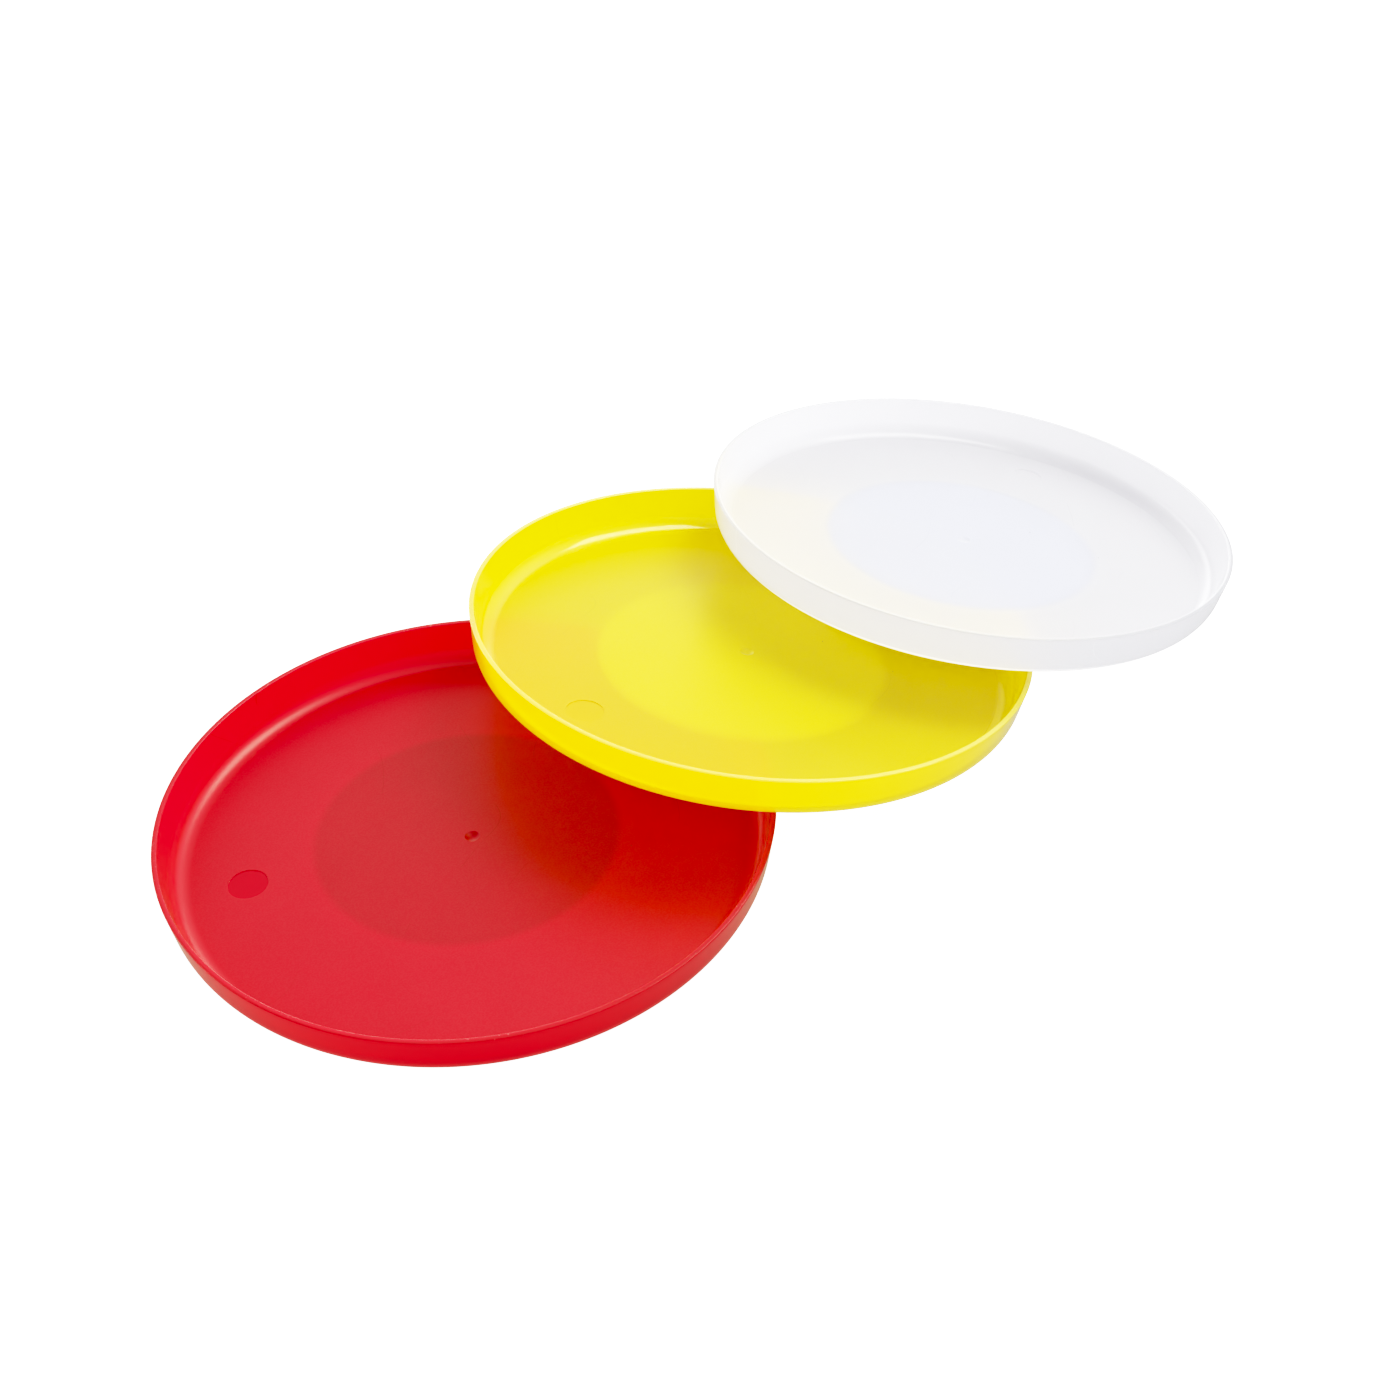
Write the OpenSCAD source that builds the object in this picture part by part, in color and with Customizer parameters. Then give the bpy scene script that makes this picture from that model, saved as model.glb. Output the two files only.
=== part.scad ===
// Set of round developing trays, standing as a fanned row.
// Each tray is one thin-walled moulding with a round paper label stuck under its floor.
// The red tray stands flat. The yellow tray leans on the red rim, and the white tray leans on the
// yellow rim, each with its far lower edge on the table.
// Millimetres, +Z up. The origin is on the table, under the middle of the red tray.
// +X runs along the row from the red tray towards the white one.

/* [Tray] */
// Outside diameter across the rim
rim_d = 195; // [180:1:220]
// Height of the moulding, from the underside of its floor to the top of its rim
tray_h = 16.7; // [15:0.1:20]
// Thickness of the wall and of the floor
wall_t = 1.7; // [1.2:0.1:2.4]
// Outward lean of the wall from upright, in degrees
draft = 8; // [4:0.5:12]
// Outside radius where the floor turns up into the wall
corner_r = 8; // [5:0.1:10]
// Radius on the two edges of the flat rim
lip_round = 0.35; // [0.2:0.05:0.55]

/* [Moulding marks] */
// Diameter of the gate dimple in the middle of the floor
gate_d = 4.8; // [3:0.1:8]
// Depth of the gate dimple
gate_depth = 0.7; // [0.3:0.05:0.9]
// Diameter of the round ejector mark in the floor
mark_d = 12.6; // [8:0.2:16]
// Depth of the ejector mark
mark_depth = 0.2; // [0.1:0.05:0.5]
// Distance of the ejector mark from the middle of the floor
mark_at = 71.2; // [56:0.2:75]
// Direction of the red tray's ejector mark, in degrees around the tray
red_mark_turn = 155.7; // [0:0.1:360]
// Direction of the yellow tray's ejector mark
yellow_mark_turn = 178.8; // [0:0.1:360]
// Direction of the white tray's ejector mark
white_mark_turn = 20; // [0:0.1:360]

/* [Labels] */
// Diameter of the round paper label
label_d = 101; // [60:1:120]
// Thickness of the paper label
label_t = 0.15; // [0.1:0.05:0.3]
// How far off centre the red tray's label is stuck, along and across the row
red_label_shift = [-0.3, 2.5]; // [-5:0.1:5]
// How far off centre the yellow tray's label is stuck
yellow_label_shift = [-3, -0.7]; // [-5:0.1:5]
// How far off centre the white tray's label is stuck
white_label_shift = [-2.4, -0.3]; // [-5:0.1:5]

/* [Row] */
// Lean of the yellow tray on the red rim, in degrees
yellow_lean = 8.86; // [8:0.01:9.2]
// Lean of the white tray on the yellow rim, in degrees
white_lean = 8.99; // [8.8:0.01:10]
// Swing of the white tray's lean away from the line of the row, in degrees
white_swing = -0.03; // [-0.2:0.01:0.2]
// Sideways shift of the white tray off the line of the row
white_side = -3.8; // [-8:0.1:8]
// Clearance left where a tray rests on the rim of the next
rest_gap = 0.05; // [0.02:0.01:0.2]

/* [Hidden] */
$fn = 160;

rim_r = rim_d / 2;
// The floor's underside lies on the label, so the tray starts one label thickness up.
base_z = label_t;
floor_z = base_z + wall_t;
top_z = base_z + tray_h;

// Unit normal of the wall's outside, in the (radius, height) plane
wall_normal = [cos(draft), -sin(draft)];
// Centres of the two edge rounds of the rim
rim_out = [rim_r - lip_round, top_z - lip_round];
rim_in = rim_out - [(wall_t - 2 * lip_round) / cos(draft), 0];
// Radius of the flat part of the floor, which is where the corner arc starts
flat_r = rim_out.x + (lip_round - corner_r + (base_z + corner_r - rim_out.y) * sin(draft)) / cos(draft);
corner = [flat_r, base_z + corner_r];
inner_corner_r = corner_r - wall_t;
// The straight wall lines end this far inside the rounds that they run into, so that line and round
// cross cleanly and leave no sliver between them.
tuck = 0.001;

// Radius of the sphere that cuts the gate dimple
gate_ball_r = (gate_d * gate_d / 4 + gate_depth * gate_depth) / (2 * gate_depth);

// Direction that a leaning tray's floor faces
function facing(lean, swing) = [sin(lean) * cos(swing), sin(lean) * sin(swing), cos(lean)];
// Height of a leaning tray's middle when its far lower edge touches the table
function lean_z(lean) = flat_r * sin(lean) + corner_r - (corner_r + base_z) * cos(lean);
// Place along the row at which a leaning tray's underside just meets the rim of the tray before it:
// at is the middle of that tray, up the direction its floor faces, and face the leaning tray's own.
function lean_x(at, up, face, y, z) =
    let (ring = at + rim_out.y * up)
    let (reach = rim_out.x * norm(cross(up, face)) + lip_round + rest_gap)
    ring.x + (face.y * (ring.y - y) + face.z * (ring.z - z) + reach) / face.x;

yellow_face = facing(yellow_lean, 0);
yellow_z = lean_z(yellow_lean);
yellow_at = [lean_x([0, 0, 0], [0, 0, 1], yellow_face, 0, yellow_z), 0, yellow_z];

white_face = facing(white_lean, white_swing);
white_z = lean_z(white_lean);
white_at = [lean_x(yellow_at, yellow_face, white_face, white_side, white_z), white_side, white_z];

// Everything inside the tray's outer surface, as half a section
module outer_half() {
    polygon([
        [0, base_z],
        [flat_r, base_z],
        corner + (corner_r - tuck) * wall_normal,
        rim_out + (lip_round - tuck) * wall_normal,
        rim_out + [0, lip_round],
        [0, top_z]
    ]);
    translate(corner) circle(corner_r);
    translate(rim_out) circle(lip_round);
}

// The well, as half a section
module well_half() {
    polygon([
        [0, floor_z],
        [flat_r, floor_z],
        corner + (inner_corner_r - tuck) * wall_normal,
        rim_in - (lip_round - tuck) * wall_normal,
        rim_in + [0, lip_round],
        rim_in + [0, 2 * lip_round],
        [0, top_z + lip_round]
    ]);
    translate(corner) circle(inner_corner_r);
    translate([0, floor_z + gate_ball_r - gate_depth]) circle(gate_ball_r);
}

// Half a section of the tray, kept on the positive side of the axis it is turned about
module tray_half() {
    intersection() {
        union() {
            difference() {
                outer_half();
                well_half();
            }
            translate(rim_in) circle(lip_round);
        }
        square([rim_d, rim_d]);
    }
}

// One moulded tray, standing flat, with its ejector mark turned to the given direction
module tray(mark_turn) {
    difference() {
        rotate_extrude() tray_half();
        rotate([0, 0, mark_turn])
            translate([mark_at, 0, floor_z - mark_depth])
                cylinder(d = mark_d, h = tray_h);
    }
}

// One paper label, lying on the table under a flat tray
module label(shift) {
    translate([shift.x, shift.y, 0]) cylinder(d = label_d, h = label_t);
}

// Moves a flat tray or label to its leaning place in the row
module leaning(at, lean, swing) {
    translate(at) rotate([0, lean, swing]) children();
}

module red_tray() {
    color([0.86, 0.05, 0.13]) tray(red_mark_turn);
}

module red_label() {
    color([0.80, 0.82, 0.86]) label(red_label_shift);
}

module yellow_tray() {
    color([0.98, 0.91, 0.10]) leaning(yellow_at, yellow_lean, 0) tray(yellow_mark_turn);
}

module yellow_label() {
    color([0.80, 0.82, 0.86]) leaning(yellow_at, yellow_lean, 0) label(yellow_label_shift);
}

module white_tray() {
    color([0.95, 0.95, 0.96]) leaning(white_at, white_lean, white_swing) tray(white_mark_turn);
}

module white_label() {
    color([0.80, 0.82, 0.86]) leaning(white_at, white_lean, white_swing) label(white_label_shift);
}

red_tray();
red_label();
yellow_tray();
yellow_label();
white_tray();
white_label();
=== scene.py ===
"""Looks for a fanned set of three round developing trays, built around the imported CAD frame.

Each tray is rebuilt as one fine turned mesh with its gate dimple, ejector mark and slightly uneven rim, and
each label as a thin paper disc. The materials are procedural. Lengths named here are in millimetres, apart
from those of the camera, the softbox and the floor's width, which are in metres.
"""
import math
from types import SimpleNamespace

import bpy
import numpy as np
from mathutils import Matrix, Vector


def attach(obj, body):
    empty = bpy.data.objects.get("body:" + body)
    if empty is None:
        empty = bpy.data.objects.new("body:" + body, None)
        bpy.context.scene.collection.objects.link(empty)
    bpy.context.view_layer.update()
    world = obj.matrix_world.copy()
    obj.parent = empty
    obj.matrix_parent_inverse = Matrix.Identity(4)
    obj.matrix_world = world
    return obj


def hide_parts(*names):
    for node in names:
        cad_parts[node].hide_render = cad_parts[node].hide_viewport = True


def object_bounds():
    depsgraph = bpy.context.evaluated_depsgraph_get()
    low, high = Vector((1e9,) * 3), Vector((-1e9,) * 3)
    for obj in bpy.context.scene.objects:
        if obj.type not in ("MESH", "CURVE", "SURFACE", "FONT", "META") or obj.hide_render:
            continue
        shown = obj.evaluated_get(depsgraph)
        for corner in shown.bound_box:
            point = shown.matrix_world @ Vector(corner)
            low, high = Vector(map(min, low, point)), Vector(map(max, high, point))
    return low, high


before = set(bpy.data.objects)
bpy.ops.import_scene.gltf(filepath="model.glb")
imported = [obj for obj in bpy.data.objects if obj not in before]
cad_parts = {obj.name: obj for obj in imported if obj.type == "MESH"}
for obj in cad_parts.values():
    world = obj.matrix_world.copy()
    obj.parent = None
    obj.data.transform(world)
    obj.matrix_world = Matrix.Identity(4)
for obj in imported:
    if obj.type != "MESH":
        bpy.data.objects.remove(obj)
cad_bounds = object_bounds()

MM = 0.001

# The moulding's section
RIM_R = 97.5
TRAY_H = 16.7
WALL = 1.7
DRAFT = math.radians(8)
CORNER_R = 8.0
LIP_ROUND = 0.35
BASE = 0.15
FLOOR = BASE + WALL
TOP = BASE + TRAY_H
GATE_R = 2.4
GATE_DEPTH = 0.7
MARK_R = 6.3
MARK_DEPTH = 0.2
MARK_EDGE = 0.06
LABEL_R = 50.5
LABEL_GAP = 0.02

# How finely the sections are turned
TURNS = 432
CORNER_STEPS = 16
LIP_STEPS = 8
WALL_STEPS = 6
GATE_STEPS = 10
LABEL_EDGE_STEPS = 8
MARK_EDGE_STEPS = 4
FLOOR_RINGS = (6.0, 24.0, 48.0, 66.0, 80.0)
EDGE_RING = 0.3
SHARP_ANGLE = math.radians(27)

# Unevenness of the rims: out of round, three-lobed and wavy. It starts at this distance from the axis
OVAL = 0.25
LOBE = 0.10
WAVE = 0.12
BEND_FROM = 75.6

# How far below a tray's highest point its rim still counts, when the rim is looked up in the CAD
RIM_BAND = 0.01

# The name under which a mesh keeps its points in its tray's own frame
OWN = "own_place"

# The flat of the floor, as the distances from the axis and the heights between which it fades out and in
FLAT_EDGE = (89.5, 87.5)
FLAT_FOOT = (BASE + 0.5, BASE + 0.6)
FLAT_TOP = (FLOOR + 0.3, FLOOR + 0.2)
GATE_FOOT = (BASE + 0.4, BASE + 0.6)
GATE_EDGE = (GATE_R + 0.1, GATE_R - 0.1)
MARK_RIM = (MARK_R + 0.05, MARK_R - 0.1)
BURR_R = MARK_R + 0.2
BURR_WIDTH = 0.25
LIP_FOOT = (TOP - 0.55, TOP - 0.25)
# How far the label's outline is blurred by the plastic over it
LABEL_BLUR = 4.0

# Relief, as a lump size or pitch and a height
GRAIN = (0.42, 0.010)
WALL_GRAIN = 0.0012
RIPPLE = (14.0, 0.06)
FINE_RINGS = (1.15, 0.0011)
BROAD_RINGS = (4.3, 0.003)
# The rings are clearest between these distances from the axis, and have this share of their height elsewhere
RING_BAND = ((52, 66), (80, 70))
RING_SHARE = 0.25
# Hairlines, as a shift of the seed, a spacing, a width and the share of the way along that shows
HAIRLINES = ((0.0, 17.0, 0.16, 0.36), (2.3, 23.0, 0.12, 0.40))
HAIRLINE_DEPTH = 0.004
# Specks of dirt, as a width, a cell size and the share of the cells that have one
SPECKS = (0.22, 7.0, 0.22)
DIRT = (0.03, 0.02, 0.02)
DIRT_SHARE = 0.85
# How far the colour goes to pale on grain and on worn spots of the lip, and to the painted shading of the
# gate dimple
SPECKLE = 0.03
WORN = 0.45
GATE_SHADING = 0.4
# Roughness of the broad part of the shine, and what smears, wear, hairlines and the polished mark add
BROAD_ROUGH = 0.55
SMEAR_ROUGH = 0.03
WORN_ROUGH = 0.25
HAIRLINE_ROUGH = 0.15
MARK_ROUGH = -0.32
# How much weaker the shine is in the polished mark
MARK_CALM = 0.22
PAPER_THROUGH = 0.3

# The surround's levels: all round, in a band beyond the row, low over the horizon, and round the softbox
DIM_FILL = 0.69
FAR_FILL = 0.97
HORIZON_FILL = 4.5
GLOW_FILL = 0.9
# Where each fades in, as cosines from its own direction or as heights on the unit sphere
FAR_SIDE = (0.5, 0.866, 0.0)
FAR_REACH = (-0.2, 0.5)
FAR_TOP = (0.80, 0.52)
FAR_FOOT = (0.30, 0.52)
FAR_FOOT_LEVEL = 0.6
HORIZON_SIDE = (95, 0)
HORIZON_REACH = (0.35, 0.65)
HORIZON_TOP = (0.42, 0.20)
GLOW_REACH = (0.55, 0.97)
FILL_COLOUR = (0.985, 0.99, 1.0)

# The softbox
KEY_SIDE = (-4, 57)
KEY_DISTANCE = 1.6
KEY_WIDTH = 0.84
KEY_RADIANCE = 7.4
KEY_COLOUR = (1.0, 0.995, 0.98)

# The floor: its paint, the light that comes up through it, and how much paler it looks straight to the camera
# and in reflections than it is
FLOOR_TONES = ((0.225, 0.225, 0.228), (0.24, 0.24, 0.24))
FLOOR_CLOUD = 90.0
FLOOR_HALF = 9.0
FLOOR_DROP = 0.02
BACKLIGHT = 0.04
FLOOR_LIFT = 1.42
SHEEN_LIFT = 0.35

# The photograph's tones: the light taken off the blacks, the light that reads as white, and a curve between
BLACK_POINT = (0.030, 0.041, 0.036)
WHITE_POINT = 1.5
TONES = (
    (0.034, 0.040), (0.068, 0.095), (0.17, 0.31), (0.31, 0.57),
    (0.45, 0.75), (0.58, 0.85), (0.69, 0.91), (0.82, 0.96),
)

PHOTO_POSITION = Vector((-0.20564, -0.35496, 0.38374))
PHOTO_AIM = Vector((0.10128, 0.00512, 0.0))
PHOTO_ROLL = math.radians(-1.05)
PHOTO_LENS = 44.36
SENSOR = 36.0
CLIP = (0.01, 60.0)


# ---------------------------------------------------------------- sections

def steps(first, last, count):
    """Points spaced evenly from first to last, both included."""
    t = np.linspace(0, 1, count + 1)[:, None]
    return np.array(first, float) * (1 - t) + np.array(last, float) * t


def arc(centre, radius, start, end, count):
    """Points on an arc about centre, from angle start to angle end."""
    a = np.linspace(start, end, count + 1)
    return np.array(centre) + radius * np.column_stack([np.cos(a), np.sin(a)])


def joined(*runs):
    """The runs of points as one run, without repeats where one ends and the next begins."""
    kept = [runs[0]]
    for run in runs[1:]:
        same = np.linalg.norm(run[0] - kept[-1][-1]) < 1e-6
        kept.append(run[1:] if same else run)
    return np.concatenate(kept)


def ringed(radii, height):
    """A flat run of points at these radii."""
    return np.column_stack([radii, np.full(len(radii), height)])


def tray_section():
    """The tray's half section, from the middle of its underside round to the bottom of the gate dimple."""
    normal = np.array([math.cos(DRAFT), -math.sin(DRAFT)])
    rim_out = np.array([RIM_R - LIP_ROUND, TOP - LIP_ROUND])
    rim_in = rim_out - np.array([(WALL - 2 * LIP_ROUND) / math.cos(DRAFT), 0])
    drop = LIP_ROUND - CORNER_R + (BASE + CORNER_R - rim_out[1]) * math.sin(DRAFT)
    flat_r = rim_out[0] + drop / math.cos(DRAFT)
    corner = np.array([flat_r, BASE + CORNER_R])
    inner_r = CORNER_R - WALL
    down = -math.pi / 2
    under = [0.0, *FLOOR_RINGS, flat_r - EDGE_RING, flat_r]
    floor = [flat_r, flat_r - EDGE_RING, *reversed(FLOOR_RINGS), GATE_R + EDGE_RING, GATE_R]
    ball = (GATE_R ** 2 + GATE_DEPTH ** 2) / (2 * GATE_DEPTH)
    gate_angle = math.asin(GATE_R / ball)
    gate = arc((0, FLOOR - GATE_DEPTH + ball), ball, down + gate_angle, down, GATE_STEPS)
    return joined(
        ringed(under, BASE),
        arc(corner, CORNER_R, down, -DRAFT, CORNER_STEPS),
        steps(corner + CORNER_R * normal, rim_out + LIP_ROUND * normal, WALL_STEPS),
        arc(rim_out, LIP_ROUND, -DRAFT, math.pi / 2, LIP_STEPS),
        arc(rim_in, LIP_ROUND, math.pi / 2, math.pi - DRAFT, LIP_STEPS),
        steps(rim_in - LIP_ROUND * normal, corner + inner_r * normal, WALL_STEPS),
        arc(corner, inner_r, -DRAFT, down, CORNER_STEPS),
        ringed(floor, FLOOR),
        gate,
    )


def plug_section():
    """The half section of the plug that the ejector pin leaves pressed into the floor."""
    bottom = FLOOR - MARK_DEPTH
    middle = (MARK_R - MARK_EDGE, bottom + MARK_EDGE)
    edge = arc(middle, MARK_EDGE, -math.pi / 2, 0, MARK_EDGE_STEPS)
    flat = ringed([0, MARK_R - 6 * MARK_EDGE, MARK_R - 2 * MARK_EDGE, MARK_R - MARK_EDGE], bottom)
    return joined(flat, edge, steps((MARK_R, TOP), (0, TOP), 1))


def label_section():
    """The half section of a paper label, with slightly rounded cut edges."""
    top = BASE - LABEL_GAP
    edge = top / 2
    return joined(
        ringed([0, LABEL_R * 0.5, LABEL_R - 3 * edge, LABEL_R - edge], 0),
        arc((LABEL_R - edge, edge), edge, -math.pi / 2, math.pi / 2, LABEL_EDGE_STEPS),
        ringed([LABEL_R - edge, LABEL_R - 3 * edge, LABEL_R * 0.5, 0], top),
    )


# ---------------------------------------------------------------- meshes

def turned(name, section, turns, centre=(0, 0), bend=None):
    """A closed mesh from a half section turned about an upright axis, on which it begins and ends."""
    angle = np.arange(turns) * (2 * math.pi / turns)
    inner = section[1:-1]
    x = inner[:, :1] * np.cos(angle)
    y = inner[:, :1] * np.sin(angle)
    z = np.repeat(inner[:, 1:], turns, 1)
    points = np.stack([x, y, z], 2).reshape(-1, 3)
    poles = np.array([[0, 0, section[0][1]], [0, 0, section[-1][1]]])
    points = np.concatenate([points, poles])
    if bend:
        points = bend(points)
    points = (points + [*centre, 0]) * MM
    first, last = len(points) - 2, len(points) - 1
    faces = []
    for ring in range(len(inner) - 1):
        a = ring * turns
        b = a + turns
        for j in range(turns):
            k = (j + 1) % turns
            faces.append((a + j, a + k, b + k, b + j))
    top = (len(inner) - 1) * turns
    for j in range(turns):
        k = (j + 1) % turns
        faces.append((first, k, j))
        faces.append((top + j, top + k, last))
    mesh = bpy.data.meshes.new(name)
    mesh.from_pydata(points.tolist(), [], faces)
    mesh.update()
    return mesh


def shown(name, mesh):
    """An object at the origin that holds mesh."""
    piece = bpy.data.objects.new(name, mesh)
    bpy.context.scene.collection.objects.link(piece)
    return piece


def placed(name, mesh, place):
    """An object holding mesh moved to place. Its points keep their spots in the tray's own frame as OWN."""
    own = mesh.attributes.new(OWN, "FLOAT_VECTOR", "POINT")
    points = np.array([v.co for v in mesh.vertices], np.float32) / MM
    own.data.foreach_set("vector", points.ravel())
    mesh.transform(place)
    return shown(name, mesh)


def cut(mesh, plug):
    """mesh with plug's solid taken away."""
    body = shown("cut_body", mesh)
    tool = shown("cut_tool", plug)
    step = body.modifiers.new("cut", "BOOLEAN")
    step.operation = "DIFFERENCE"
    step.solver = "EXACT"
    step.object = tool
    bpy.context.view_layer.update()
    evaluated = body.evaluated_get(bpy.context.evaluated_depsgraph_get())
    result = bpy.data.meshes.new_from_object(evaluated)
    bpy.data.objects.remove(body)
    bpy.data.objects.remove(tool)
    return result


def finished(mesh, name):
    """Smooth shading with the true edges left sharp."""
    mesh.name = name
    mesh.materials.clear()
    mesh.shade_smooth()
    mesh.set_sharp_from_angle(angle=SHARP_ANGLE)
    return mesh


def rim_bend(lobe_side):
    """Pulls the wall slightly out of round and lowers the rim in waves. The rim is never above true."""
    def bend(points):
        out = points.copy()
        share = np.clip((points[:, 2] - BASE) / TRAY_H, 0, 1) ** 1.5
        share = share * (np.hypot(points[:, 0], points[:, 1]) > BEND_FROM)
        angle = np.arctan2(points[:, 1], points[:, 0])
        pull = -OVAL * np.cos(2 * angle) + lobe_side * LOBE * np.sin(3 * angle)
        out[:, 0] += share * pull * np.cos(angle)
        out[:, 1] += share * pull * np.sin(angle)
        out[:, 2] -= share ** 2 * WAVE * (0.5 + 0.5 * lobe_side * np.sin(2 * angle))
        return out
    return bend


# ---------------------------------------------------------------- places, measured from the CAD nodes

def cad_points(node):
    """A CAD node's vertices, in the row frame, in metres."""
    return np.array([v.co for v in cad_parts[node].data.vertices], float)


def circle_middle(points):
    """The middle of the circle that best fits these flat points."""
    rows = np.column_stack([2 * points, np.ones(len(points))])
    found = np.linalg.lstsq(rows, (points ** 2).sum(1), rcond=None)[0]
    return found[:2]


def tray_place(colour):
    """The matrix that carries a flat tray with its label's underside at height 0 to its place in the row."""
    label = cad_points(colour + "_label")
    tray = cad_points(colour + "_tray")
    up = np.linalg.svd(label - label.mean(0), full_matrices=False)[2][2]
    up = up * np.sign(up[2])
    lean = math.hypot(up[0], up[1])
    across = np.array([-up[1], up[0], 0]) / lean if lean > 1e-5 else np.array([0.0, 1.0, 0.0])
    along = np.cross(across, up)
    height = tray @ up
    rim = tray[height > height.max() - RIM_BAND * MM]
    flat = np.column_stack([rim @ along, rim @ across])
    away = np.linalg.norm(flat - flat.mean(0), axis=1)
    middle = circle_middle(flat[away > (away.min() + away.max()) / 2])
    origin = along * middle[0] + across * middle[1] + up * (height.max() - TOP * MM)
    place = Matrix(np.column_stack([along, across, up]).tolist()).to_4x4()
    place.translation = Vector(origin)
    return place


def local_points(node, place):
    """A CAD node's vertices in a tray's own frame, in millimetres."""
    points = cad_points(node)
    back = np.array(place.inverted())
    return (points @ back[:3, :3].T + back[:3, 3]) / MM


def mark_middle(colour, place):
    """Where the ejector mark is on a tray's floor."""
    points = local_points(colour + "_tray", place)
    deep = np.abs(points[:, 2] - (FLOOR - MARK_DEPTH)) < MARK_DEPTH / 4
    out = np.hypot(points[:, 0], points[:, 1]) > 4 * MARK_R
    return circle_middle(points[deep & out][:, :2])


# ---------------------------------------------------------------- materials

class Graph:
    """Short calls that build the nodes of one material or of the world."""

    def __init__(self, holder):
        self.holder = holder
        holder.use_nodes = True
        self.tree = holder.node_tree
        self.tree.nodes.clear()

    def put(self, socket, value):
        """Sets or links one input."""
        if isinstance(value, bpy.types.NodeSocket):
            self.tree.links.new(value, socket)
        elif isinstance(value, tuple) and len(value) == 3 and socket.type == "RGBA":
            socket.default_value = (*value, 1.0)
        else:
            socket.default_value = value

    def node(self, kind, settings=None, **inputs):
        """A new node. Its inputs are named with _ for a space."""
        made = self.tree.nodes.new("ShaderNode" + kind)
        for key, value in (settings or {}).items():
            setattr(made, key, value)
        for key, value in inputs.items():
            self.put(made.inputs[key.replace("_", " ")], value)
        return made

    def math(self, operation, a, b=0.0, c=0.0):
        made = self.node("Math", {"operation": operation})
        for socket, value in zip(made.inputs, (a, b, c)):
            self.put(socket, value)
        return made.outputs[0]

    def vector(self, operation, a, b=(0, 0, 0), output="Vector"):
        made = self.node("VectorMath", {"operation": operation})
        self.put(made.inputs[0], a)
        self.put(made.inputs[1], b)
        return made.outputs[output]

    def scaled(self, vector, factor):
        made = self.node("VectorMath", {"operation": "SCALE"})
        self.put(made.inputs[0], vector)
        self.put(made.inputs["Scale"], factor)
        return made.outputs[0]

    def add(self, *values):
        total = values[0]
        for value in values[1:]:
            total = self.math("ADD", total, value)
        return total

    def times(self, *values):
        total = values[0]
        for value in values[1:]:
            total = self.math("MULTIPLY", total, value)
        return total

    def fade(self, value, low, high, start=0.0, end=1.0):
        """Runs smoothly from start to end as value goes from low to high."""
        made = self.node("MapRange", {"interpolation_type": "SMOOTHSTEP"})
        for socket, item in zip(made.inputs, (value, low, high, start, end)):
            self.put(socket, item)
        return made.outputs[0]

    def noise(self, vector, size, detail=2.0, roughness=0.5):
        """Noise from 0 to 1 with lumps about size millimetres across."""
        made = self.node("TexNoise", Vector=vector, Scale=1.0 / size, Detail=detail, Roughness=roughness)
        return made.outputs[0]

    def blend(self, factor, a, b):
        """Colour a where factor is 0 and b where it is 1."""
        made = self.node("Mix", {"data_type": "RGBA"})
        self.put(made.inputs[0], factor)
        self.put(made.inputs[6], a)
        self.put(made.inputs[7], b)
        return made.outputs[2]

    def shade(self, factor, a, b):
        """Shader a where factor is 0 and b where it is 1."""
        made = self.node("MixShader")
        for socket, value in zip(made.inputs, (factor, a, b)):
            self.put(socket, value)
        return made.outputs[0]

    def bump(self, height):
        """A normal from a height in millimetres."""
        made = self.node("Bump", Strength=1.0, Distance=MM, Height=height)
        return made.outputs[0]

    def out(self, shader):
        self.node("OutputMaterial", Surface=shader)
        return self.holder


def span(graph, x, y):
    """The length of the flat vector x, y."""
    return graph.math("SQRT", graph.add(graph.times(x, x), graph.times(y, y)))


def millimetres(graph):
    """The point being shaded in its tray's own frame, and its height and distance from the axis."""
    point = graph.node("Attribute", {"attribute_name": OWN}).outputs["Vector"]
    parts = graph.node("SeparateXYZ", Vector=point).outputs
    return point, parts[2], span(graph, parts[0], parts[1])


def off_spot(graph, point, spot):
    """How far a point is from a spot on the floor."""
    apart = graph.vector("SUBTRACT", point, (spot[0], spot[1], FLOOR))
    return graph.vector("LENGTH", apart, output="Value")


def ring_height(graph, point, away):
    """Faint rings left in the floor by the turned mould."""
    band = graph.times(graph.fade(away, *RING_BAND[0]), graph.fade(away, *RING_BAND[1]))
    even = graph.add(RING_SHARE, graph.times(1 - RING_SHARE, band))
    patch = graph.fade(graph.noise(point, 30.0), 0.42, 0.62)
    waves = []
    for pitch, size in (FINE_RINGS, BROAD_RINGS):
        wave = graph.math("SINE", graph.times(away, 2 * math.pi / pitch))
        waves.append(graph.times(wave, size))
    return graph.times(graph.add(*waves), even, patch)


def hairlines(graph, point, seed, spacing, width, share):
    """Thin curved scratches, 1 on a line and 0 elsewhere, broken into a few short runs."""
    shifted = graph.vector("ADD", point, (seed * 37.0, seed * -53.0, 0.0))
    bent = graph.times(graph.math("SUBTRACT", graph.noise(shifted, 60.0, 1.0), 0.5), spacing * 3.0)
    parts = graph.node("SeparateXYZ", Vector=shifted).outputs
    far = span(graph, parts[0], parts[1])
    place = graph.math("PINGPONG", graph.add(far, bent), spacing)
    line = graph.fade(place, width, 0.0)
    run = graph.fade(graph.noise(shifted, 22.0, 0.0), 1 - share, 1.04 - share)
    return graph.times(line, run)


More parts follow.
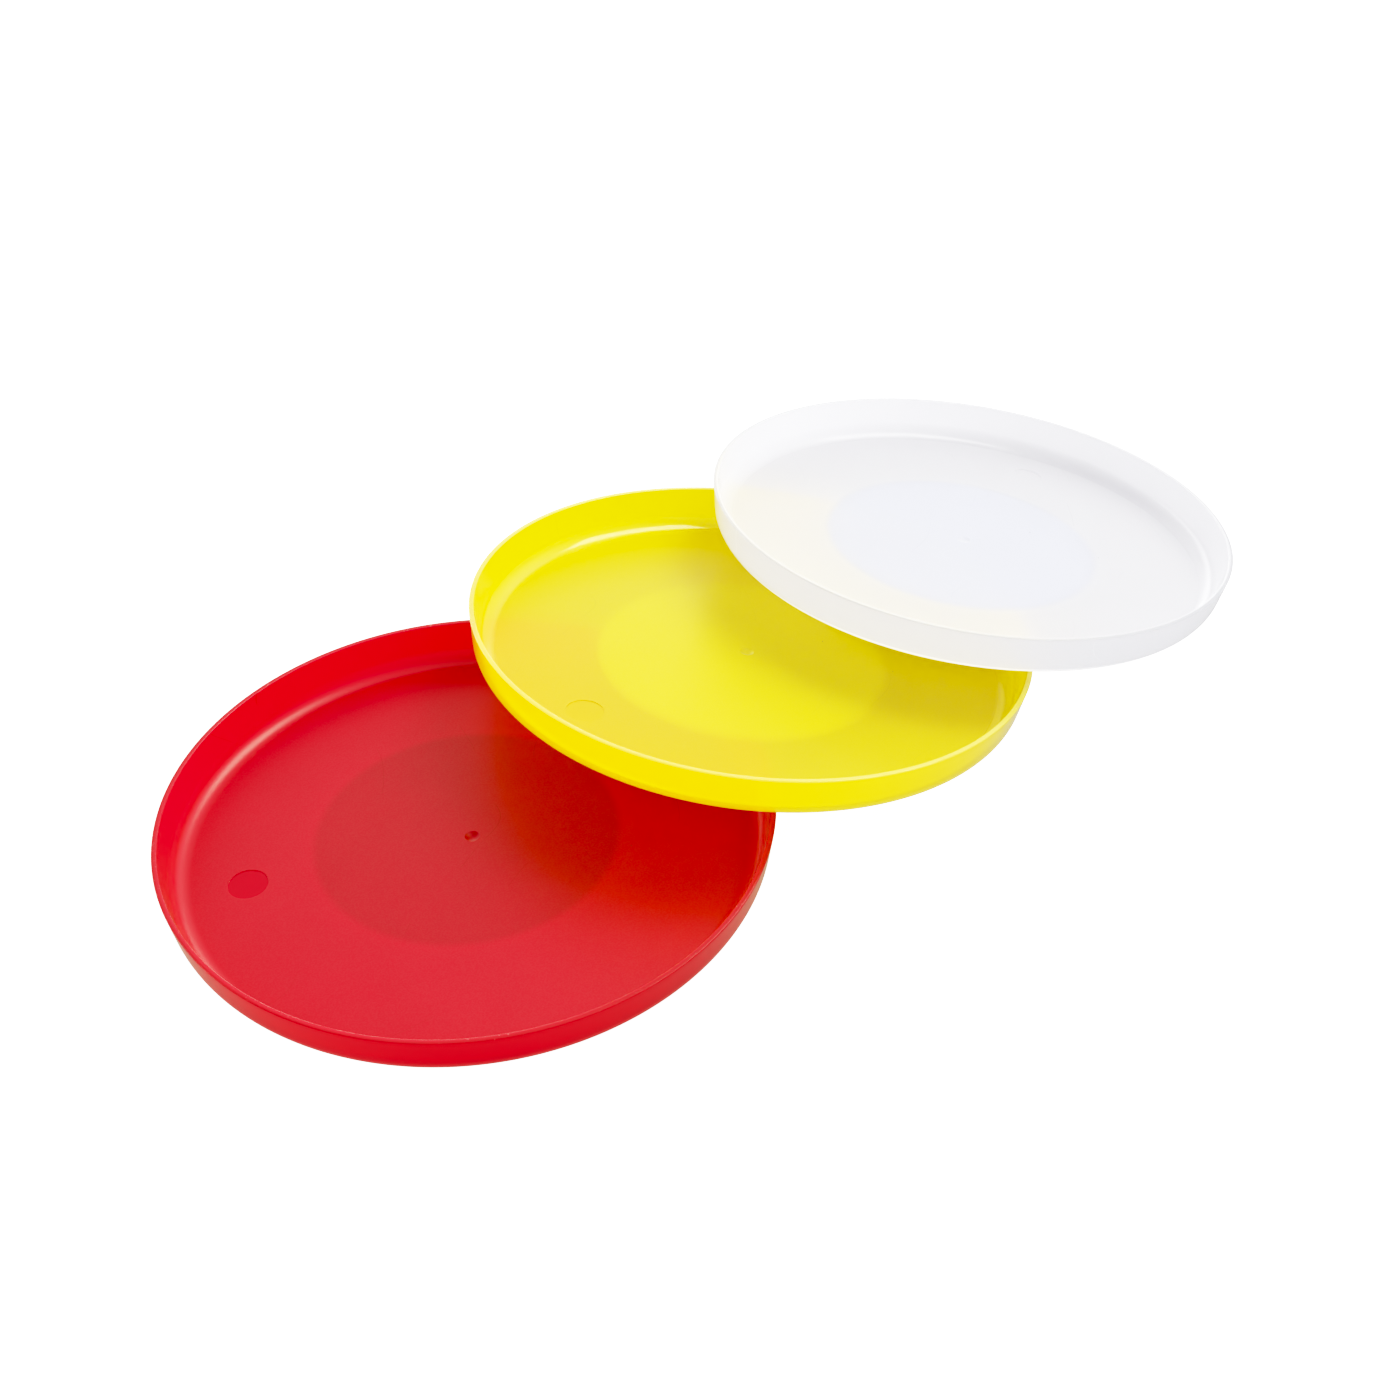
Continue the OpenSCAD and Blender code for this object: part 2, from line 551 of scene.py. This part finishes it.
def specks(graph, point, size, cell, share):
    """Scattered specks of dirt, 1 on a speck and 0 elsewhere."""
    made = graph.node("TexVoronoi", Vector=point, Scale=1.0 / cell)
    pick = graph.node("SeparateColor", Color=made.outputs["Color"]).outputs
    chosen = graph.math("LESS_THAN", pick[0], share)
    width = graph.times(size / cell, graph.add(0.4, pick[1]))
    return graph.times(graph.fade(made.outputs["Distance"], width, graph.times(width, 0.6)), chosen)


def tray_areas(graph, look, point, height, away, mark, label):
    """The parts of a tray that differ in looks, each 1 inside and 0 outside."""
    flat = graph.times(graph.fade(away, *FLAT_EDGE), graph.fade(height, *FLAT_FOOT))
    flat = graph.times(flat, graph.fade(height, *FLAT_TOP))
    off_mark = off_spot(graph, point, mark)
    in_mark = graph.fade(off_mark, *MARK_RIM)
    polished = graph.times(in_mark, flat, look["mark"])
    burr = graph.fade(graph.math("ABSOLUTE", graph.math("SUBTRACT", off_mark, BURR_R)), BURR_WIDTH, 0.0)
    gate = graph.times(graph.fade(away, *GATE_EDGE), graph.fade(height, *GATE_FOOT))
    lip = graph.fade(height, *LIP_FOOT)
    worn = graph.times(lip, graph.fade(graph.noise(point, 1.5, 3.0, 0.65), 0.60, 0.72))
    worn = graph.times(worn, graph.fade(graph.noise(point, 24.0, 1.0), 0.46, 0.60))
    upright = graph.add(away, graph.times(height, -math.tan(DRAFT)))
    halfway = RIM_R - WALL / 2 - TOP * math.tan(DRAFT)
    # The outer wall, which the colour darkens as painted shade.
    outside = graph.fade(upright, halfway - 0.3, halfway + 0.3)
    edge = LABEL_R + look["spread"]
    over_label = graph.times(flat, graph.fade(off_spot(graph, point, label), edge, edge - LABEL_BLUR))
    scratch = [hairlines(graph, point, look["seed"] + shift, *rest) for shift, *rest in HAIRLINES]
    return SimpleNamespace(
        flat=flat,
        open_floor=graph.times(flat, graph.math("SUBTRACT", 1.0, in_mark)),
        polished=polished,
        burr=graph.times(burr, flat),
        gate=gate,
        lip=lip,
        worn=worn,
        outside=outside,
        over_label=over_label,
        scratch=graph.add(*scratch),
        dirt=specks(graph, point, *SPECKS),
    )


def tray_normal(graph, look, point, away, areas):
    """Moulding grain, mould rings, the burr round the ejector mark, a slow ripple and hairlines."""
    grain = graph.noise(point, GRAIN[0], 2.0, 0.6)
    grain_size = graph.add(WALL_GRAIN, graph.times(areas.open_floor, GRAIN[1]))
    relief = graph.add(
        graph.times(grain, grain_size),
        graph.times(ring_height(graph, point, away), areas.open_floor),
        graph.times(areas.burr, look["burr"]),
        graph.times(graph.noise(point, RIPPLE[0], 1.0), RIPPLE[1]),
        graph.times(areas.scratch, -HAIRLINE_DEPTH),
    )
    return graph.bump(relief)


def tray_colour(graph, look, point, areas):
    """The plastic's colour: slightly cloudy and pale where it is worn, with a painted highlight along the
    lip, painted shade on the outer wall and painted shading over the label and in the gate dimple.
    """
    cloud = graph.fade(graph.noise(point, 26.0, 3.0), 0.3, 0.7)
    colour = graph.blend(cloud, look["colour"], look["colour_b"])
    fine = graph.fade(graph.noise(point, 0.5, 1.0), 0.3, 0.7)
    colour = graph.blend(graph.times(fine, SPECKLE, areas.open_floor), colour, look["pale"])
    # Painted highlight: the lip is paled all round, standing for the bright line of light along the rim.
    colour = graph.blend(graph.times(areas.lip, look["edge"]), colour, look["pale"])
    colour = graph.blend(graph.times(areas.worn, WORN), colour, look["pale"])
    colour = graph.blend(graph.times(areas.scratch, look["scratch"]), colour, look["deep"])
    # Painted shade: the outer wall is darkened towards deep.
    colour = graph.blend(graph.times(areas.outside, look["outer"]), colour, look["deep"])
    # Painted shading over the label, where it blocks light coming up through the floor.
    label_shading = graph.vector("MULTIPLY", colour, look["label_shading"])
    colour = graph.blend(areas.over_label, colour, label_shading)
    # Painted shading in the gate dimple: deeper on red, paler on yellow.
    colour = graph.blend(graph.times(areas.gate, GATE_SHADING), colour, look["gate_shading"])
    return graph.blend(graph.times(areas.dirt, DIRT_SHARE), colour, DIRT)


def tray_gloss(graph, look, point, normal, areas):
    """The shine: a fairly sharp lobe and a share of a broad one, both calmer in the mark and the gate."""
    smear = graph.fade(graph.noise(point, 18.0, 2.0), 0.35, 0.7)
    rough = graph.add(
        look["rough"],
        graph.times(areas.flat, look["matt"]),
        graph.times(smear, SMEAR_ROUGH),
        graph.times(areas.worn, WORN_ROUGH),
        graph.times(areas.scratch, HAIRLINE_ROUGH),
        graph.times(areas.polished, MARK_ROUGH),
    )
    calm = graph.add(
        graph.times(areas.gate, look["gate"]),
        graph.times(areas.polished, MARK_CALM),
        graph.times(areas.flat, look["haze"]),
    )
    shine = graph.blend(calm, look["shine"], (0.0, 0.0, 0.0))
    lobe = {"distribution": "BECKMANN"}
    sharp = graph.node("BsdfAnisotropic", lobe, Color=shine, Roughness=rough, Normal=normal)
    broad = graph.node("BsdfAnisotropic", lobe, Color=shine, Roughness=BROAD_ROUGH, Normal=normal)
    share = graph.times(look["broad_share"], graph.math("SUBTRACT", 1.0, areas.polished))
    return graph.shade(share, sharp.outputs[0], broad.outputs[0])


def thin_skin(graph, face):
    """face on the side that light meets first, and nothing where it leaves the solid again."""
    clear = graph.node("BsdfTransparent", Color=(1, 1, 1))
    behind = graph.node("NewGeometry").outputs["Backfacing"]
    return graph.out(graph.shade(behind, face, clear.outputs[0]))


def plastic(name, look, mark, label):
    """Glossy moulded plastic that lets a little of what lies beneath show through."""
    graph = Graph(bpy.data.materials.new(name))
    point, height, away = millimetres(graph)
    areas = tray_areas(graph, look, point, height, away, mark, label)
    normal = tray_normal(graph, look, point, away, areas)
    colour = tray_colour(graph, look, point, areas)
    gloss = tray_gloss(graph, look, point, normal, areas)
    solid = graph.node("BsdfDiffuse", Color=colour, Normal=normal)
    glow = graph.node("BsdfTranslucent", Color=colour, Normal=normal)
    body = graph.shade(look["glow"], solid.outputs[0], glow.outputs[0])
    through = graph.node("BsdfTransparent", Color=look["tint"])
    see = graph.times(look["see"], graph.math("SUBTRACT", 1.0, areas.dirt))
    body = graph.shade(see, body, through.outputs[0])
    fresnel = graph.node("Fresnel", IOR=look["ior"], Normal=normal)
    return thin_skin(graph, graph.shade(fresnel.outputs[0], body, gloss))


def paper(name, seed):
    """Matt label paper, slightly mottled and fibrous."""
    graph = Graph(bpy.data.materials.new(name))
    point = millimetres(graph)[0]
    point = graph.vector("ADD", point, (seed * 61.0, seed * 17.0, 0.0))
    cloud = graph.fade(graph.noise(point, 9.0, 3.0), 0.3, 0.7)
    fibre_space = graph.vector("MULTIPLY", point, (1.0, 0.25, 1.0))
    fibre = graph.noise(fibre_space, 0.35, 3.0, 0.7)
    colour = graph.blend(cloud, (0.52, 0.60, 0.70), (0.57, 0.64, 0.73))
    colour = graph.blend(graph.times(graph.fade(fibre, 0.35, 0.7), 0.25), colour, (0.80, 0.82, 0.86))
    normal = graph.bump(graph.times(fibre, 0.02))
    made = graph.node("BsdfPrincipled", Base_Color=colour, Roughness=0.85, IOR=1.4, Normal=normal)
    glow = graph.node("BsdfTranslucent", Color=colour, Normal=normal)
    return thin_skin(graph, graph.shade(PAPER_THROUGH, made.outputs[0], glow.outputs[0]))


# What differs between the three plastics. colour and colour_b are the body's two close tones. pale is where
# it has grain or is worn, and the painted highlight along the lip, whose strength is edge. deep is where it
# is scratched, and the painted shade on the outer wall. tint is what shows through. see and glow are the
# shares of light that pass straight and scattered. The colour over the label is multiplied by a painted
# shading, and the label's outline is moved out by spread. The gate dimple gets a painted shading colour of
# its own. The rest are strengths and roughnesses of the areas they name.
LOOKS = {
    "red": {
        "colour": (0.70, 0.004, 0.046), "colour_b": (0.68, 0.004, 0.044), "pale": (0.95, 0.40, 0.36),
        "deep": (0.42, 0.0, 0.01), "tint": (0.92, 0.0, 0.01), "shine": (0.92, 0.92, 0.70),
        "label_shading": (0.79, 1.0, 0.80), "gate_shading": (0.45, 0.0, 0.02), "see": 0.08, "glow": 0.46, "gate": 0.35,
        "mark": 1.0, "burr": 0.004, "edge": 0.05, "scratch": 0.5, "rough": 0.28, "broad_share": 0.22,
        "ior": 1.5, "seed": 1.0, "spread": 0.4, "haze": 0.0, "matt": 0.11, "outer": 0.5,
    },
    "yellow": {
        "colour": (0.995, 0.79, 0.003), "colour_b": (0.985, 0.78, 0.003), "pale": (0.99, 0.93, 0.45),
        "deep": (0.75, 0.60, 0.0), "tint": (1.0, 0.86, 0.0), "shine": (1.0, 1.0, 1.0),
        "label_shading": (1.0, 1.03, 1.0), "gate_shading": (0.98, 0.82, 0.12), "see": 0.24, "glow": 0.42, "gate": 0.0,
        "mark": 0.1, "burr": 0.007, "edge": 0.30, "scratch": 0.4, "rough": 0.10, "broad_share": 0.15,
        "ior": 1.5, "seed": 2.0, "spread": 1.2, "haze": 0.42, "matt": 0.22, "outer": 0.0,
    },
    "white": {
        "colour": (0.93, 0.925, 0.965), "colour_b": (0.92, 0.915, 0.955), "pale": (0.93, 0.93, 0.94),
        "deep": (0.62, 0.62, 0.65), "tint": (0.97, 0.97, 0.98), "shine": (1.0, 1.0, 1.0),
        "label_shading": (0.83, 0.835, 0.885), "gate_shading": (0.93, 0.93, 0.95), "see": 0.02, "glow": 0.58, "gate": 0.0,
        "mark": 0.0, "burr": 0.0, "edge": 0.2, "scratch": 0.3, "rough": 0.20, "broad_share": 0.25,
        "ior": 1.45, "seed": 3.0, "spread": 2.6, "haze": 0.0, "matt": 0.22, "outer": 1.0,
    },
}


# ---------------------------------------------------------------- the object

def build_moulding(colour, lobe_side, place, label_middle):
    """A tray's moulding, riding on that tray's body."""
    mark = mark_middle(colour, place)
    shell = turned("shell", tray_section(), TURNS, bend=rim_bend(lobe_side))
    plug = turned("plug", plug_section(), TURNS // 3, centre=mark)
    mesh = finished(cut(shell, plug), colour + "_tray_moulding")
    mesh.materials.append(plastic(colour + "_plastic", LOOKS[colour], mark, label_middle))
    tray = placed(colour + "_tray_moulding", mesh, place)
    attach(tray, colour)
    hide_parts(colour + "_tray")


def build_label(colour, place, label_middle):
    """The paper label under a tray, riding on the same body."""
    disc = turned("disc", label_section(), TURNS // 2, centre=label_middle)
    disc = finished(disc, colour + "_label_paper")
    disc.materials.append(paper(colour + "_paper", LOOKS[colour]["seed"]))
    label = placed(colour + "_label_paper", disc, place)
    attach(label, colour)
    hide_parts(colour + "_label")


# ---------------------------------------------------------------- stage

def direction(azimuth, elevation):
    """A unit vector. Azimuth is from +X towards +Y, and both are in degrees."""
    a, e = math.radians(azimuth), math.radians(elevation)
    return Vector((math.cos(a) * math.cos(e), math.sin(a) * math.cos(e), math.sin(e)))


def key_softbox():
    """A square soft light aimed at the row's middle."""
    away = direction(*KEY_SIDE)
    centre = (cad_bounds[0] + cad_bounds[1]) / 2
    data = bpy.data.lights.new("key_softbox", "AREA")
    data.shape = "SQUARE"
    data.size = KEY_WIDTH
    data.energy = KEY_RADIANCE * math.pi * KEY_WIDTH * KEY_WIDTH
    data.color = KEY_COLOUR
    light = bpy.data.objects.new("key_softbox", data)
    bpy.context.scene.collection.objects.link(light)
    light.location = centre + away * KEY_DISTANCE
    light.rotation_mode = "QUATERNION"
    light.rotation_quaternion = away.to_track_quat("Z", "Y")


def floor_paint():
    """Matt paint with a soft glow. It is paler to a camera ray that met no tray on its way."""
    graph = Graph(bpy.data.materials.new("floor_paint"))
    point = graph.scaled(graph.node("TexCoord").outputs["Object"], 1 / MM)
    colour = graph.blend(graph.noise(point, FLOOR_CLOUD, 2.0), *FLOOR_TONES)
    matt = graph.node("BsdfDiffuse", Color=colour)
    path = graph.node("LightPath").outputs
    bare = graph.math("LESS_THAN", path["Transparent Depth"], 0.5)
    seen = graph.times(path["Is Camera Ray"], bare, FLOOR_LIFT)
    mirrored = graph.times(path["Is Glossy Ray"], SHEEN_LIFT)
    strength = graph.add(seen, mirrored, BACKLIGHT)
    lift = graph.node("Emission", Color=(1.0, 1.0, 1.0), Strength=strength)
    both = graph.node("AddShader")
    graph.put(both.inputs[0], matt.outputs[0])
    graph.put(both.inputs[1], lift.outputs[0])
    return graph.out(both.outputs[0])


def pale_floor():
    """A wide plain floor just under the lowest faces."""
    mesh = bpy.data.meshes.new("floor")
    signs = ((-1, -1), (1, -1), (1, 1), (-1, 1))
    corners = [(x * FLOOR_HALF, y * FLOOR_HALF, -FLOOR_DROP * MM) for x, y in signs]
    mesh.from_pydata(corners, [], [(0, 1, 2, 3)])
    mesh.materials.append(floor_paint())
    shown("floor", mesh)


def surround_level(graph):
    """How bright the surround is in each direction."""
    ray = graph.node("TexCoord").outputs["Generated"]
    height = graph.node("SeparateXYZ", Vector=ray).outputs[2]

    def near(side, reach):
        return graph.fade(graph.vector("DOT_PRODUCT", ray, side, "Value"), *reach)

    low = graph.times(graph.fade(height, *FAR_TOP), graph.fade(height, *FAR_FOOT, FAR_FOOT_LEVEL, 1.0))
    horizon_side = tuple(direction(*HORIZON_SIDE))
    return graph.add(
        DIM_FILL,
        graph.times(near(FAR_SIDE, FAR_REACH), low, FAR_FILL),
        graph.times(near(horizon_side, HORIZON_REACH), graph.fade(height, *HORIZON_TOP), HORIZON_FILL),
        graph.times(near(tuple(direction(*KEY_SIDE)), GLOW_REACH), GLOW_FILL),
    )


def soft_world():
    """A soft surround. It looks paler straight to the camera than it lights the scene."""
    world = bpy.data.worlds.new("surround")
    bpy.context.scene.world = world
    graph = Graph(world)
    fill = graph.node("Background", Color=FILL_COLOUR, Strength=surround_level(graph))
    seen = graph.node("Background", Color=(1.0, 1.0, 1.0), Strength=WHITE_POINT * 1.1)
    path = graph.node("LightPath").outputs["Is Camera Ray"]
    graph.node("OutputWorld", Surface=graph.shade(path, fill.outputs[0], seen.outputs[0]))


def photo_camera():
    """The camera at the photograph's viewing angle."""
    data = bpy.data.cameras.new("photo_camera")
    data.lens = PHOTO_LENS
    data.sensor_width = SENSOR
    data.clip_start, data.clip_end = CLIP
    camera = bpy.data.objects.new("photo_camera", data)
    bpy.context.scene.collection.objects.link(camera)
    camera.location = PHOTO_POSITION
    aim = (PHOTO_AIM - PHOTO_POSITION).to_track_quat("-Z", "Y")
    camera.rotation_mode = "QUATERNION"
    camera.rotation_quaternion = aim @ Matrix.Rotation(PHOTO_ROLL, 3, "Z").to_quaternion()
    bpy.context.scene.camera = camera


def photo_tones():
    """Deepened blacks and softly held back whites, as in the photograph."""
    settings = bpy.context.scene.view_settings
    settings.view_transform = "Standard"
    settings.use_curve_mapping = True
    curves = settings.curve_mapping
    curves.black_level = BLACK_POINT
    curves.white_level = (WHITE_POINT, WHITE_POINT, WHITE_POINT)
    for light, shown_as in TONES:
        curves.curves[3].points.new(light, shown_as)
    curves.update()


for colour, lobe_side in (("red", 1), ("yellow", -1), ("white", 1)):
    place = tray_place(colour)
    label_middle = circle_middle(local_points(colour + "_label", place)[:, :2])
    build_moulding(colour, lobe_side, place, label_middle)
    build_label(colour, place, label_middle)
pale_floor()
soft_world()
key_softbox()
photo_camera()
photo_tones()

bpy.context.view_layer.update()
